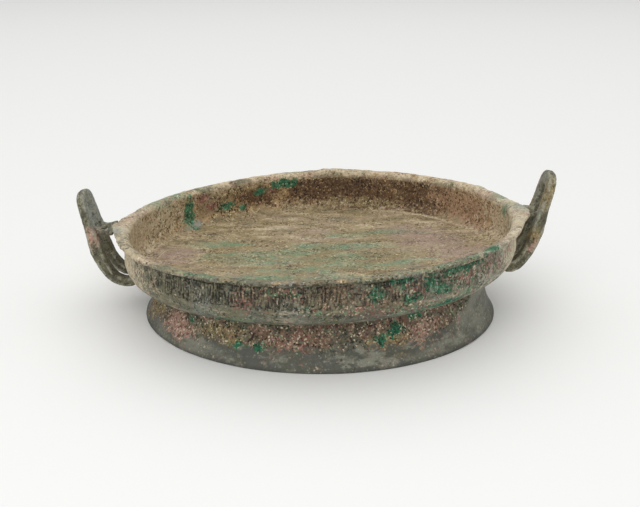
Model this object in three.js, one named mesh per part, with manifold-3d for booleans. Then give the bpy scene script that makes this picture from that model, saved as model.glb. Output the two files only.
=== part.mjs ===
// Ritual basin of cast bronze: a wide shallow bowl with a flat lip, on a flared ring foot,
// with an upright loop handle cast on at each side and two short struts from lip to handle.
// Millimetres, +Z up. The origin is on the ground under the middle of the whole length, -Y
// is the front, and +X runs through the right handle.
import * as THREE from 'three';
import { mergeVertices } from 'three/addons/utils/BufferGeometryUtils.js';
import Module from 'manifold-3d';

// Bowl
const rimRadius = 170;
const rimHeight = 78.8;
const lipOverhang = 6;
const lipThickness = 3.2;
const lipEdgeRadius = 1.3;
const lipSwell = 6;
const lipSwellAngle = THREE.MathUtils.degToRad(15);
const mouthRadius = 2.6;
const wallThickness = 4;
const wallDraft = 0.8;
const turnWidth = 17;
const turnHeight = 14.5;
const floorHeight = 40;
const floorDip = 3.3;
const reliefHeight = 17.5;
const reliefDrop = 1.6;
const reliefRise = 0.6;
// The bowl was set on its foot askew: it rises by this much for each millimetre towards +X.
const lean = 0.041;

// Ring foot
const neckRadius = 134;
const footRadius = 149.2;
const footFlareRadius = 140.2;
const footFlareHeight = 12;
const footWall = 5;
const footEdgeRadius = 1;

// Handles
const handleReach = { left: 23.1, right: 16.3 };
const handleRise = 25.8;
const handleSplay = 0.265;
const heelSplay = 0.38;
const rootHalfSpan = 15;
const crownHalfSpan = 13.5;
const crownRise = 11;
const crownSquareness = 0.75;
const heelHeight = 20;
const heelDrop = { left: 12.5, right: 8.5 };
const heelPull = 5;
const heelTuck = { left: 14.5, right: 11 };
const rootSink = 2;
const legWidth = 11;
const heelThickness = 8;
const waistThickness = 9.4;
const crownThickness = 6;
const waistHeight = 65;
const crownThinFrom = 87;
const legEdgeRadius = 1.2;

// Struts between lip and handle
const strutHalfSpan = 10.6;
const strutWidth = 6.2;
const strutHeight = 4;
const strutDrop = 1;
const strutFlareAtLip = 1.35;
const strutFlareAtHandle = 2;
const strutUpturn = 0.6;
const strutInset = 2;
const strutEdgeRadius = 1.4;

// Bronze spacers that held the core away from the mould, seen in the underside
const spacerSize = 7;
const spacerDepth = 2;
const spacerRadius = 95;
const spacerClearance = 0.3;

// Cast-on pieces lie this far from what carries them. The allowance makes up for corners,
// where a skin that is moved outwards along its mean normals moves a little less.
const seatGap = 0.3;
const cornerAllowance = 1.15;

// The left handle stands further out than the right one, so the bowl's axis lies this far to
// the right of the middle of the whole length.
const axisShift = 3.4;

const roundSteps = 72;

const wasm = await Module();
wasm.setup();

const bronze = (name, color, roughness, metalness) =>
  new THREE.MeshStandardMaterial({ name, color, roughness, metalness });

// Derived places
const wallRadius = rimRadius - lipOverhang;
const turnRadius = wallRadius - turnWidth;
const turnTop = floorHeight + turnHeight;
const lipUnderside = rimHeight - lipThickness;
const bandTop = lipUnderside - reliefDrop;
const bandBottom = bandTop - reliefHeight;
const crownSpring = rimHeight + handleRise - crownRise;

// Height of the bowl's underside, a shallow dish, at a distance from the middle.
const undersideAt = (radius) => floorHeight - floorDip * (1 - (radius / turnRadius) ** 2);

// Points on a quarter or other part of an ellipse, angles in degrees.
function arc(middleX, middleY, radiusX, radiusY, from, to, steps) {
  const points = [];
  for (let i = 0; i <= steps; i += 1) {
    const angle = THREE.MathUtils.degToRad(from + (to - from) * i / steps);
    const x = middleX + radiusX * Math.cos(angle);
    const y = middleY + radiusY * Math.sin(angle);
    points.push(new THREE.Vector2(x, y));
  }
  return points;
}

// Turns an outline of radius and height about the Z axis.
function turned(outline) {
  return new THREE.LatheGeometry(outline, roundSteps).rotateX(Math.PI / 2);
}

// Underside, from the axis out to where the wall turns up.
function undersideOutline() {
  const steps = 5;
  const points = [];
  for (let i = 0; i < steps; i += 1) {
    const radius = turnRadius * i / steps;
    points.push(new THREE.Vector2(radius, undersideAt(radius)));
  }
  return points;
}

// Outside of the bowl, from the axis to the outer edge of the lip's top.
function bowlOutside() {
  const wallAtLip = wallRadius - wallDraft;
  const edge = lipEdgeRadius;
  return [
    ...undersideOutline(),
    ...arc(turnRadius, turnTop, turnWidth, turnHeight, -90, 0, 6),
    new THREE.Vector2(wallRadius + reliefRise, bandBottom + reliefRise),
    new THREE.Vector2(wallAtLip + reliefRise, bandTop),
    new THREE.Vector2(wallAtLip, bandTop + reliefRise),
    new THREE.Vector2(wallAtLip, lipUnderside),
    ...arc(rimRadius - edge, lipUnderside + edge, edge, edge, -90, 0, 2),
    ...arc(rimRadius - edge, rimHeight - edge, edge, edge, 0, 90, 2),
  ];
}

// Inside of the bowl, from the lip's top to the axis.
function bowlInside() {
  const inside = wallRadius - wallThickness;
  const mouth = mouthRadius;
  const turnIn = turnWidth - wallThickness;
  const turnUp = turnHeight - wallThickness;
  const floor = undersideOutline().reverse();
  floor.forEach((point) => {
    point.y += wallThickness;
  });
  return [
    ...arc(inside + mouth, rimHeight - mouth, mouth, mouth, 90, 180, 3),
    ...arc(turnRadius, turnTop, turnIn, turnUp, 0, -90, 5),
    ...floor,
  ];
}

// Lets the lip stand out a little further at both handles.
function swellLip(geometry) {
  const places = geometry.getAttribute('position');
  for (let i = 0; i < places.count; i += 1) {
    const x = places.getX(i);
    const y = places.getY(i);
    const radius = Math.hypot(x, y);
    const share = (radius - wallRadius) / lipOverhang;
    const off = Math.atan2(Math.abs(y), Math.abs(x)) / lipSwellAngle;
    if (share > 0.5 && off < 1 && places.getZ(i) > lipUnderside - reliefRise) {
      const swell = lipSwell * share * Math.cos(off * Math.PI / 2) ** 2;
      const grown = (radius + swell) / radius;
      places.setXY(i, x * grown, y * grown);
    }
  }
  return geometry;
}

// Tips the bowl and what is cast onto it, with the foot's lower edge still flat on the ground.
function leaned(geometry) {
  const places = geometry.getAttribute('position');
  const neckHeight = undersideAt(neckRadius);
  for (let i = 0; i < places.count; i += 1) {
    const z = places.getZ(i);
    const share = THREE.MathUtils.clamp(z / neckHeight, 0, 1);
    places.setZ(i, z + lean * share * places.getX(i));
  }
  return geometry;
}

// Joins shared corners, so that the surface is one closed skin.
function welded(geometry) {
  geometry.deleteAttribute('normal');
  geometry.deleteAttribute('uv');
  return mergeVertices(geometry, 1e-3);
}

function toSolid(geometry) {
  const vertProperties = new Float32Array(geometry.getAttribute('position').array);
  const triVerts = new Uint32Array(geometry.index.array);
  return new wasm.Manifold(new wasm.Mesh({ numProp: 3, vertProperties, triVerts }));
}

function toGeometry(solid) {
  const { vertProperties, triVerts } = solid.getMesh();
  const geometry = new THREE.BufferGeometry();
  geometry.setAttribute('position', new THREE.BufferAttribute(new Float32Array(vertProperties), 3));
  geometry.setIndex(new THREE.BufferAttribute(new Uint32Array(triVerts), 1));
  return geometry;
}

// The same skin moved outwards by the seat gap, to cut clear what is cast against it.
function grown(geometry) {
  const copy = geometry.clone();
  copy.computeVertexNormals();
  const places = copy.getAttribute('position');
  const normals = copy.getAttribute('normal');
  const reach = seatGap * cornerAllowance;
  for (let i = 0; i < places.count; i += 1) {
    const x = places.getX(i) + normals.getX(i) * reach;
    const y = places.getY(i) + normals.getY(i) * reach;
    const z = places.getZ(i) + normals.getZ(i) * reach;
    places.setXYZ(i, x, y, z);
  }
  copy.deleteAttribute('normal');
  return copy;
}

// Corner points of a rounded rectangle that is centred on its section's middle.
function sectionPoints(width, height, edge) {
  const points = [];
  const corners = [[1, 1, 0], [-1, 1, 90], [-1, -1, 180], [1, -1, 270]];
  corners.forEach(([sideX, sideY, turn]) => {
    const x = sideX * (width / 2 - edge);
    const y = sideY * (height / 2 - edge);
    points.push(...arc(x, y, edge, edge, turn, turn + 90, 2));
  });
  return points;
}

// Skins a row of closed sections with the same number of points, and closes both ends.
function lofted(sections) {
  const count = sections[0].length;
  const last = sections.length - 1;
  const places = sections.flat().flatMap((point) => point.toArray());
  const index = [];
  for (let row = 0; row < last; row += 1) {
    for (let i = 0; i < count; i += 1) {
      const a = row * count + i;
      const b = row * count + (i + 1) % count;
      index.push(a, b, b + count, a, b + count, a + count);
    }
  }
  for (let i = 1; i < count - 1; i += 1) {
    index.push(0, i + 1, i);
    index.push(last * count, last * count + i, last * count + i + 1);
  }
  const geometry = new THREE.BufferGeometry();
  geometry.setAttribute('position', new THREE.Float32BufferAttribute(places, 3));
  geometry.setIndex(index);
  return geometry;
}

// Bowl

const spacerBearings = { front_right: -45, back_right: 45, back_left: 135, front_left: -135 };

// Middle of a spacer's upper face, inside the floor.
function spacerPlace(bearing) {
  const angle = THREE.MathUtils.degToRad(bearing);
  const x = spacerRadius * Math.cos(angle);
  const y = spacerRadius * Math.sin(angle);
  return new THREE.Vector3(x, y, undersideAt(spacerRadius) + lean * x + spacerDepth);
}

function blockBelow(place, size, depth) {
  const block = new THREE.BoxGeometry(size, size, depth);
  return welded(block.translate(place.x, place.y, place.z - depth / 2));
}

function spacer(bearing) {
  return blockBelow(spacerPlace(bearing), spacerSize, spacerDepth);
}

// The hole that a spacer sits in, open below and one clearance wider all round.
function spacerPocket(bearing) {
  const place = spacerPlace(bearing);
  place.z += spacerClearance;
  return blockBelow(place, spacerSize + 2 * spacerClearance, 2 * spacerDepth);
}

function bowlSkin() {
  return leaned(swellLip(welded(turned([...bowlOutside(), ...bowlInside()]))));
}

// The bowl as if it were filled to the lip, which trims what is cast against its outside.
function filledBowl() {
  const brim = new THREE.Vector2(0, rimHeight);
  return grown(leaned(swellLip(welded(turned([...bowlOutside(), brim])))));
}

function basinBowl() {
  let solid = toSolid(bowlSkin());
  Object.values(spacerBearings).forEach((bearing) => {
    solid = solid.subtract(toSolid(spacerPocket(bearing)));
  });
  return toGeometry(solid);
}

// Ring foot

function ringFoot() {
  const flare = new THREE.QuadraticBezierCurve(
    new THREE.Vector2(footRadius, footEdgeRadius),
    new THREE.Vector2(footFlareRadius, footFlareHeight),
    new THREE.Vector2(neckRadius, undersideAt(neckRadius) - seatGap),
  );
  const outside = flare.getPoints(7);
  const inside = outside.map((point) => new THREE.Vector2(point.x - footWall, point.y));
  const top = inside[inside.length - 1];
  top.y = undersideAt(top.x) - seatGap;
  inside[0].y = 0;
  const edge = new THREE.Vector2(footRadius - footEdgeRadius, 0);
  const outline = [inside[0], edge, ...outside, ...inside.reverse()];
  return leaned(welded(turned(outline)));
}

// Handles

// Middle line of one leg seen from the front, from its root under the bowl's turn up the
// heel to the foot of the straight limb.
function heelCurve(side) {
  const tuck = heelTuck[side];
  const limbFoot = new THREE.Vector2(wallRadius + handleReach[side], floorHeight + heelHeight);
  const root = new THREE.Vector2(turnRadius, floorHeight + rootSink);
  const bendX = limbFoot.x - heelSplay * (heelHeight + tuck);
  const bend = new THREE.Vector2(bendX, floorHeight - tuck);
  const under = new THREE.Vector2(wallRadius - heelPull, floorHeight - heelDrop[side]);
  return new THREE.CubicBezierCurve(root, under, bend, limbFoot);
}

// One place on the handle's middle line, the outward direction of the bent strap that the
// handle is cut from, and the strap's thickness there.
function handlePlace(x, y, z, tangent, thickness) {
  const out = new THREE.Vector3(tangent.y, 0, -tangent.x).normalize();
  return { at: new THREE.Vector3(x, y, z), out, thickness };
}

// The strap is stoutest at its waist below the rim, thinner in the heel and in the crown.
function thicknessAt(height) {
  const { lerp, smoothstep } = THREE.MathUtils;
  if (height < waistHeight) {
    return lerp(heelThickness, waistThickness, smoothstep(height, floorHeight, waistHeight));
  }
  return lerp(waistThickness, crownThickness, smoothstep(height, waistHeight, crownThinFrom));
}

// Half the distance between the two legs, which lean together towards the crown.
function halfSpanAt(height) {
  const share = (height - floorHeight) / (crownSpring - floorHeight);
  return THREE.MathUtils.lerp(rootHalfSpan, crownHalfSpan, THREE.MathUtils.clamp(share, 0, 1));
}

function legPlaces(side) {
  const heel = heelCurve(side);
  const heelSteps = 9;
  const limbSteps = 6;
  const places = [];
  for (let i = 0; i < heelSteps; i += 1) {
    const { x, y: z } = heel.getPoint(i / heelSteps);
    const tangent = heel.getTangent(i / heelSteps);
    places.push(handlePlace(x, -halfSpanAt(z), z, tangent, thicknessAt(z)));
  }
  const foot = heel.getPoint(1);
  const tangent = new THREE.Vector2(handleSplay, 1);
  for (let i = 0; i < limbSteps; i += 1) {
    const z = foot.y + (crownSpring - foot.y) * i / limbSteps;
    const x = foot.x + handleSplay * (z - foot.y);
    places.push(handlePlace(x, -halfSpanAt(z), z, tangent, thicknessAt(z)));
  }
  return places;
}

// The crown joins the legs in a squarish arch.
function crownPlaces(side) {
  const foot = heelCurve(side).getPoint(1);
  const tangent = new THREE.Vector2(handleSplay, 1);
  const steps = 18;
  const places = [];
  for (let i = 0; i <= steps; i += 1) {
    const across = Math.cos(Math.PI * i / steps);
    const up = Math.sin(Math.PI * i / steps);
    const y = -crownHalfSpan * Math.sign(across) * Math.abs(across) ** crownSquareness;
    const z = crownSpring + crownRise * up ** crownSquareness;
    const x = foot.x + handleSplay * (z - foot.y);
    places.push(handlePlace(x, y, z, tangent, crownThickness));
  }
  return places;
}

// The back leg repeats the front one, run the other way.
function loopPlaces(side) {
  const front = legPlaces(side);
  const back = front.map((place) => {
    const at = new THREE.Vector3(place.at.x, -place.at.y, place.at.z);
    return { ...place, at };
  });
  return [...front, ...crownPlaces(side), ...back.reverse()];
}

function handleSection({ at, out, thickness }, i, places) {
  const before = places[Math.max(i - 1, 0)].at;
  const after = places[Math.min(i + 1, places.length - 1)].at;
  const along = after.clone().sub(before).normalize();
  const side = new THREE.Vector3().crossVectors(along, out);
  return sectionPoints(legWidth, thickness, legEdgeRadius).map((point) => at.clone()
    .addScaledVector(side, point.x)
    .addScaledVector(out, -point.y));
}

// A strap with rounded edges, bent up from under the bowl and arched over at the top.
function loopSkin(side) {
  const loop = lofted(loopPlaces(side).map(handleSection));
  if (side === 'left') {
    loop.rotateZ(Math.PI);
  }
  return leaned(loop);
}

function loopHandle(side) {
  return toGeometry(toSolid(loopSkin(side)).subtract(toSolid(filledBowl())));
}

// Struts

// A short bar that widens where it runs onto the lip and onto the handle.
function strutSkin(side, row) {
  const start = rimRadius + lipSwell - strutInset;
  const rise = lipUnderside - floorHeight - heelHeight;
  const end = wallRadius + handleReach[side] + handleSplay * rise;
  const height = rimHeight - strutDrop - strutHeight / 2;
  const steps = 8;
  const sections = [];
  for (let i = 0; i <= steps; i += 1) {
    const share = i / steps;
    const flareAtEnd = share < 0.5 ? strutFlareAtLip : strutFlareAtHandle;
    const flare = 1 + (flareAtEnd - 1) * (2 * share - 1) ** 2;
    const width = strutWidth * Math.min(flare, strutFlareAtLip);
    const outline = sectionPoints(width, strutHeight * flare, strutEdgeRadius);
    const x = start + (end - start) * share;
    const z = height + strutHeight * (flare - 1) * strutUpturn / 2;
    sections.push(outline.map((point) => {
      const y = row * strutHalfSpan + point.x;
      return new THREE.Vector3(x, y, z + point.y);
    }));
  }
  const bar = lofted(sections);
  if (side === 'left') {
    bar.rotateZ(Math.PI);
  }
  return leaned(bar);
}

function strut(side, row) {
  const bar = toSolid(strutSkin(side, row));
  const clearOfBowl = bar.subtract(toSolid(filledBowl()));
  return toGeometry(clearOfBowl.subtract(toSolid(grown(loopSkin(side)))));
}

// Assembly

const basin = new THREE.Group();

function addPiece(name, geometry, material) {
  const mesh = new THREE.Mesh(geometry.translate(axisShift, 0, 0), material);
  mesh.name = name;
  basin.add(mesh);
}

const bowlBronze = bronze('bowl_bronze', 0x6d6a55, 0.75, 0.35);
const footBronze = bronze('foot_bronze', 0x64604e, 0.7, 0.35);
const handleBronze = bronze('handle_bronze', 0x5f6152, 0.75, 0.35);
const spacerBronze = bronze('spacer_bronze', 0x7a6a4a, 0.65, 0.5);

addPiece('basin_bowl', basinBowl(), bowlBronze);
addPiece('ring_foot', ringFoot(), footBronze);

['left', 'right'].forEach((side) => {
  addPiece(`${side}_handle`, loopHandle(side), handleBronze);
  // The left side is the right one turned about, which swaps its front and back.
  const turn = side === 'left' ? -1 : 1;
  addPiece(`${side}_front_strut`, strut(side, -turn), handleBronze);
  addPiece(`${side}_back_strut`, strut(side, turn), handleBronze);
});

Object.entries(spacerBearings).forEach(([place, bearing]) => {
  addPiece(`spacer_${place}`, spacer(bearing), spacerBronze);
});

export default basin;
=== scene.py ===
import math
from types import SimpleNamespace

import bmesh
import bpy
import numpy as np
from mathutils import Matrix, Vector, noise


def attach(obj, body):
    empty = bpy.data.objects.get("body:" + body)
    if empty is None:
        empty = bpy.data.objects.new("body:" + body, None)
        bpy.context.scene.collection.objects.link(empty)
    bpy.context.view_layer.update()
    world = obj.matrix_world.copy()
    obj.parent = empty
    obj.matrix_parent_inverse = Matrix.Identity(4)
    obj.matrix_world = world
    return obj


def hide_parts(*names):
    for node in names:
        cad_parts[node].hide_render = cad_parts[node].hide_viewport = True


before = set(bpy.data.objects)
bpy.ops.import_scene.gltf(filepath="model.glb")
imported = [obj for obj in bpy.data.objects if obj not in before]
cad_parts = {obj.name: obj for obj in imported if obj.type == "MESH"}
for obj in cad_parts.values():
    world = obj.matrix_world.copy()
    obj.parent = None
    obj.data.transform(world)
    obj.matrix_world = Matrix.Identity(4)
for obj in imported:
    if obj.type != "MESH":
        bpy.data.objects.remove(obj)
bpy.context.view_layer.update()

# Camera
# The basin is seen from the front, a little above the rim, from 900 mm away. The lens is long
# enough to keep the bowl's circle an even oval.
AIM = Vector((0.0034, 0, 0.0461))
CAMERA_DISTANCE = 0.9
CAMERA_ELEVATION = math.radians(17.6)
LENS = 59.07
SENSOR = 36

camera_data = bpy.data.cameras.new("camera")
camera_data.lens = LENS
camera_data.sensor_width = SENSOR
camera_data.clip_start = 0.01
camera = bpy.data.objects.new("camera", camera_data)
back_to_camera = Vector((0, -math.cos(CAMERA_ELEVATION), math.sin(CAMERA_ELEVATION)))
camera.location = AIM + CAMERA_DISTANCE * back_to_camera
camera.rotation_euler = back_to_camera.to_track_quat("Z", "Y").to_euler()
bpy.context.scene.collection.objects.link(camera)
bpy.context.scene.camera = camera
bpy.context.scene.view_settings.view_transform = "Standard"


# Studio
# A seamless pale table under a wide soft lamp overhead, with a second soft lamp in front and
# even light from all round.
FLOOR_SIZE = 24
FLOOR_PAINT = (247, 247, 245)
FLOOR_ROUGHNESS = 0.9
OVERHEAD_PLACE = (0, 1, 3)
OVERHEAD_SIZE = (6, 7)
OVERHEAD_POWER = 82
FRONT_PLACE = (-0.5, -2.3, 1.7)
FRONT_SIZE = (2.4, 1.6)
FRONT_POWER = 25
SKY_STRENGTH = 0.5


def seen(red, green, blue):
    """A colour as it is seen, 0 to 255, in the linear form that a shader takes."""
    parts = []
    for value in (red, green, blue):
        share = value / 255
        parts.append(share / 12.92 if share <= 0.04045 else ((share + 0.055) / 1.055) ** 2.4)
    return (*parts, 1.0)


def soft_lamp(name, place, size, power):
    """A wide lamp that shines straight down until it is turned."""
    lamp_data = bpy.data.lights.new(name, "AREA")
    lamp_data.shape = "RECTANGLE"
    lamp_data.size, lamp_data.size_y = size
    lamp_data.energy = power
    lamp = bpy.data.objects.new(name, lamp_data)
    lamp.location = place
    bpy.context.scene.collection.objects.link(lamp)
    return lamp


world = bpy.data.worlds.new("studio")
world.use_nodes = True
world.node_tree.nodes["Background"].inputs["Color"].default_value = (1, 1, 1, 1)
world.node_tree.nodes["Background"].inputs["Strength"].default_value = SKY_STRENGTH
bpy.context.scene.world = world

soft_lamp("overhead_lamp", OVERHEAD_PLACE, OVERHEAD_SIZE, OVERHEAD_POWER)
front_lamp = soft_lamp("front_lamp", FRONT_PLACE, FRONT_SIZE, FRONT_POWER)
front_lamp.rotation_euler = front_lamp.location.to_track_quat("Z", "Y").to_euler()

floor_shape = bmesh.new()
bmesh.ops.create_grid(floor_shape, x_segments=1, y_segments=1, size=FLOOR_SIZE / 2)
floor_mesh = bpy.data.meshes.new("floor")
floor_shape.to_mesh(floor_mesh)
floor_shape.free()
floor = bpy.data.objects.new("floor", floor_mesh)
floor_paint = bpy.data.materials.new("floor_paint")
floor_paint.use_nodes = True
floor_shader = floor_paint.node_tree.nodes["Principled BSDF"]
floor_shader.inputs["Base Color"].default_value = seen(*FLOOR_PAINT)
floor_shader.inputs["Roughness"].default_value = FLOOR_ROUGHNESS
floor_mesh.materials.append(floor_paint)
bpy.context.scene.collection.objects.link(floor)


# Bowl
# A wide shallow dish of bronze, poured in a piece mould about 4 mm thick, with a flat lip
# turned out at the rim. A frieze of small squared hooks, cut into the mould, stands under the
# lip. The bowl sits askew on its foot, higher at +X.
MM = 0.001
RIM_RADIUS = 170
RIM_HEIGHT = 78.8
LIP_OVERHANG = 6
LIP_THICKNESS = 3.2
LIP_EDGE = 1.3
LIP_SWELL = 6
LIP_SWELL_ANGLE = math.radians(15)
MOUTH_RADIUS = 5
WALL = 4
WALL_DRAFT = 0.8
TURN_WIDTH = 17
TURN_HEIGHT = 14.5
FLOOR_HEIGHT = 40
FLOOR_DIP = 3.3
BAND_DROP = 1.6
BAND_HEIGHT = 18.5
BAND_RISE = 0.6
LEAN = 0.041
AXIS_SHIFT = 3.4
NECK_RADIUS = 134
SPACER_SIZE = 7
SPACER_RADIUS = 95

WALL_RADIUS = RIM_RADIUS - LIP_OVERHANG
TURN_RADIUS = WALL_RADIUS - TURN_WIDTH
TURN_TOP = FLOOR_HEIGHT + TURN_HEIGHT
LIP_UNDERSIDE = RIM_HEIGHT - LIP_THICKNESS
BAND_TOP = LIP_UNDERSIDE - BAND_DROP
BAND_BOTTOM = BAND_TOP - BAND_HEIGHT
SPACER_OFFSET = SPACER_RADIUS * math.sqrt(0.5)

# How fine the mesh is: steps round the bowl, cuts of each step on the band, rings of the
# underside, steps of the curves in the section, and the widest spacing in mm along its other
# parts.
BOWL_STEPS = 320
BAND_CUTS = 4
UNDER_RINGS = 29
TURN_STEPS = 12
TURN_IN_STEPS = 9
EDGE_STEPS = 4
MOUTH_STEPS = 5
BAND_STEP = 0.56
LIP_STEP = 1.6
WALL_STEP = 1.8
FLOOR_STEP = 4


def underside_at(radius):
    """Height of the bowl's underside, a shallow dish, at a distance from the axis."""
    return FLOOR_HEIGHT - FLOOR_DIP * (1 - (radius / TURN_RADIUS) ** 2)


def arc(middle_x, middle_y, radius_x, radius_y, start, end, steps):
    """Points on part of an ellipse, angles in degrees."""
    angles = [math.radians(start + (end - start) * i / steps) for i in range(steps + 1)]
    return [
        (middle_x + radius_x * math.cos(a), middle_y + radius_y * math.sin(a)) for a in angles
    ]


def filled(points, step):
    """The same outline with further points, so that none lie more than step apart."""
    dense = [points[0]]
    for (x0, y0), (x1, y1) in zip(points, points[1:]):
        count = max(1, math.ceil(math.hypot(x1 - x0, y1 - y0) / step))
        for i in range(1, count + 1):
            dense.append((x0 + (x1 - x0) * i / count, y0 + (y1 - y0) * i / count))
    return dense


def spun(outline, steps):
    """Turns an outline of radius and height, in mm, once round the Z axis."""
    shape = bmesh.new()
    corners = [shape.verts.new((radius * MM, 0, height * MM)) for radius, height in outline]
    edges = [shape.edges.new(pair) for pair in zip(corners, corners[1:])]
    bmesh.ops.spin(
        shape, geom=corners + edges, cent=(0, 0, 0), axis=(0, 0, 1),
        angle=math.tau, steps=steps, use_merge=True,
    )
    bmesh.ops.remove_doubles(shape, verts=shape.verts, dist=1e-6)
    bmesh.ops.recalc_face_normals(shape, faces=shape.faces)
    return shape


def to_piece(name, shape):
    """Makes the finished object of a shape and puts it in the scene, smoothly shaded."""
    mesh = bpy.data.meshes.new(name)
    shape.to_mesh(mesh)
    shape.free()
    mesh.shade_smooth()
    piece = bpy.data.objects.new(name, mesh)
    bpy.context.scene.collection.objects.link(piece)
    return piece


def vertices(piece):
    """The place of each vertex in mm, one row for each."""
    places = np.empty(len(piece.data.vertices) * 3)
    piece.data.vertices.foreach_get("co", places)
    return places.reshape(-1, 3) / MM


def outward(piece):
    """The direction that the surface faces at each vertex."""
    normals = np.empty(len(piece.data.vertices) * 3, dtype=np.float32)
    piece.data.vertex_normals.foreach_get("vector", normals)
    return normals.reshape(-1, 3)


def move_to(piece, places):
    """Moves the vertices to new places, in mm."""
    piece.data.vertices.foreach_set("co", (places * MM).ravel())
    piece.data.update()


def keep(piece, name, values):
    """Keeps a value for each vertex on the mesh, where a material can read it by its name."""
    layer = piece.data.attributes.new(name, "FLOAT", "POINT")
    layer.data.foreach_set("value", np.asarray(values, dtype=np.float32))


def radii(places):
    """Distances from the axis."""
    return np.hypot(places[:, 0], places[:, 1])


def bearings(places):
    """Directions from the axis in degrees, 0 at +X and -90 at the front."""
    return np.degrees(np.arctan2(places[:, 1], places[:, 0]))


def near(bearing, middle, half):
    """1 at the middle bearing, falling smoothly to 0 a half width away, in degrees."""
    off = np.abs((bearing - middle + 180) % 360 - 180) / half
    return np.cos(np.clip(off, 0, 1) * math.pi / 2) ** 2


def ramp(values, start, length):
    """0 up to the start, 1 from that length further on, and evenly between."""
    return np.clip((values - start) / length, 0, 1)


def lumps(places, size, shift=0):
    """Smooth noise between about -1 and 1 at each place, with lumps of that size in mm."""
    return np.array([noise.noise(Vector(p)) for p in places / size + shift])


def uneven(places, layers):
    """The sum of layers of lumps, each given by its height, its size and a shift of its own."""
    return sum(height * lumps(places, size, shift) for height, size, shift in layers)


def leaned(places):
    """Tips the bowl, and its foot from the ground up, and moves the axis to its place."""
    share = ramp(places[:, 2], 0, underside_at(NECK_RADIUS))
    moved = places.copy()
    moved[:, 2] += LEAN * share * places[:, 0]
    moved[:, 0] += AXIS_SHIFT
    return moved


def spots(places, marks):
    """How deep each place lies in the nearest of some oval marks: 1 in its middle, 0 at its
    edge and less outside. A mark is its bearing in degrees, then its radius, height, half
    width and half height in mm."""
    bearing = np.arctan2(places[:, 1], places[:, 0])
    radius = radii(places)
    field = np.full(len(places), -1.0)
    for mark_bearing, mark_radius, mark_height, wide, tall in marks:
        turn = (bearing - math.radians(mark_bearing) + math.pi) % math.tau - math.pi
        around = turn * mark_radius / wide
        across = np.hypot(radius - mark_radius, places[:, 2] - mark_height) / tall
        field = np.maximum(field, 1 - np.hypot(around, across))
    return field


def floor_spots(places, marks):
    """The same for streaks on the floor: x, y, half length along X and half width in mm."""
    field = np.full(len(places), -1.0)
    for x, y, half_length, half_width in marks:
        along = (places[:, 0] - x) / half_length
        across = (places[:, 1] - y) / half_width
        field = np.maximum(field, 1 - np.hypot(along, across))
    return field


# Squared hooks of one unit of the frieze: each stroke's half width, then its corners, in mm
# from the unit's lower left. The strokes are the grooves between the raised lines. Of every
# three units the second is turned left to right, and the third upside down.
UNIT_WIDTH = 10.2
UNITS = round(math.tau * WALL_RADIUS / UNIT_WIDTH)
GROOVE_DEPTH = 1.1
GROOVE_WANDER = 0.9
WANDER_SIZE = 5
STROKES = [
    (0.8, [(1.3, 12.0), (1.3, 1.6)]),
    (0.4, [(1.3, 1.6), (8.9, 1.6)]),
    (0.6, [(8.9, 1.6), (8.9, 12.0)]),
    (0.5, [(3.8, 4.2), (3.8, 10.4), (6.4, 10.4)]),
    (0.8, [(6.4, 10.4), (6.4, 4.2)]),
    (0.8, [(1.3, 17.2), (4.3, 17.2), (4.3, 13.4)]),
    (0.5, [(4.3, 13.4), (2.6, 13.4), (2.6, 15.4)]),
    (0.8, [(7.6, 15.4), (7.6, 13.4), (5.9, 13.4)]),
    (0.5, [(5.9, 13.4), (5.9, 17.2), (8.9, 17.2)]),
]


def groove_depth(places):
    """How deep the frieze is cut at each place, from 0 to 1."""
    around = np.arctan2(places[:, 1], places[:, 0]) / math.tau * UNITS
    kind = np.floor(around) % 3
    across = (around % 1) * UNIT_WIDTH
    across = np.where(kind == 1, UNIT_WIDTH - across, across)
    across += GROOVE_WANDER * lumps(places, WANDER_SIZE, 21)
    up = places[:, 2] - BAND_BOTTOM
    up = np.where(kind == 2, BAND_HEIGHT - up, up)
    up += GROOVE_WANDER * lumps(places, WANDER_SIZE, 27)
    depth = np.zeros(len(places))
    for width, corners in STROKES:
        for (x0, y0), (x1, y1) in zip(corners, corners[1:]):
            length = math.hypot(x1 - x0, y1 - y0)
            along = ((across - x0) * (x1 - x0) + (up - y0) * (y1 - y0)) / length
            along = np.clip(along, 0, length) / length
            off = np.hypot(across - x0 - along * (x1 - x0), up - y0 - along * (y1 - y0))
            depth = np.maximum(depth, np.exp(-((off / width) ** 2)))
    return depth


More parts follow.
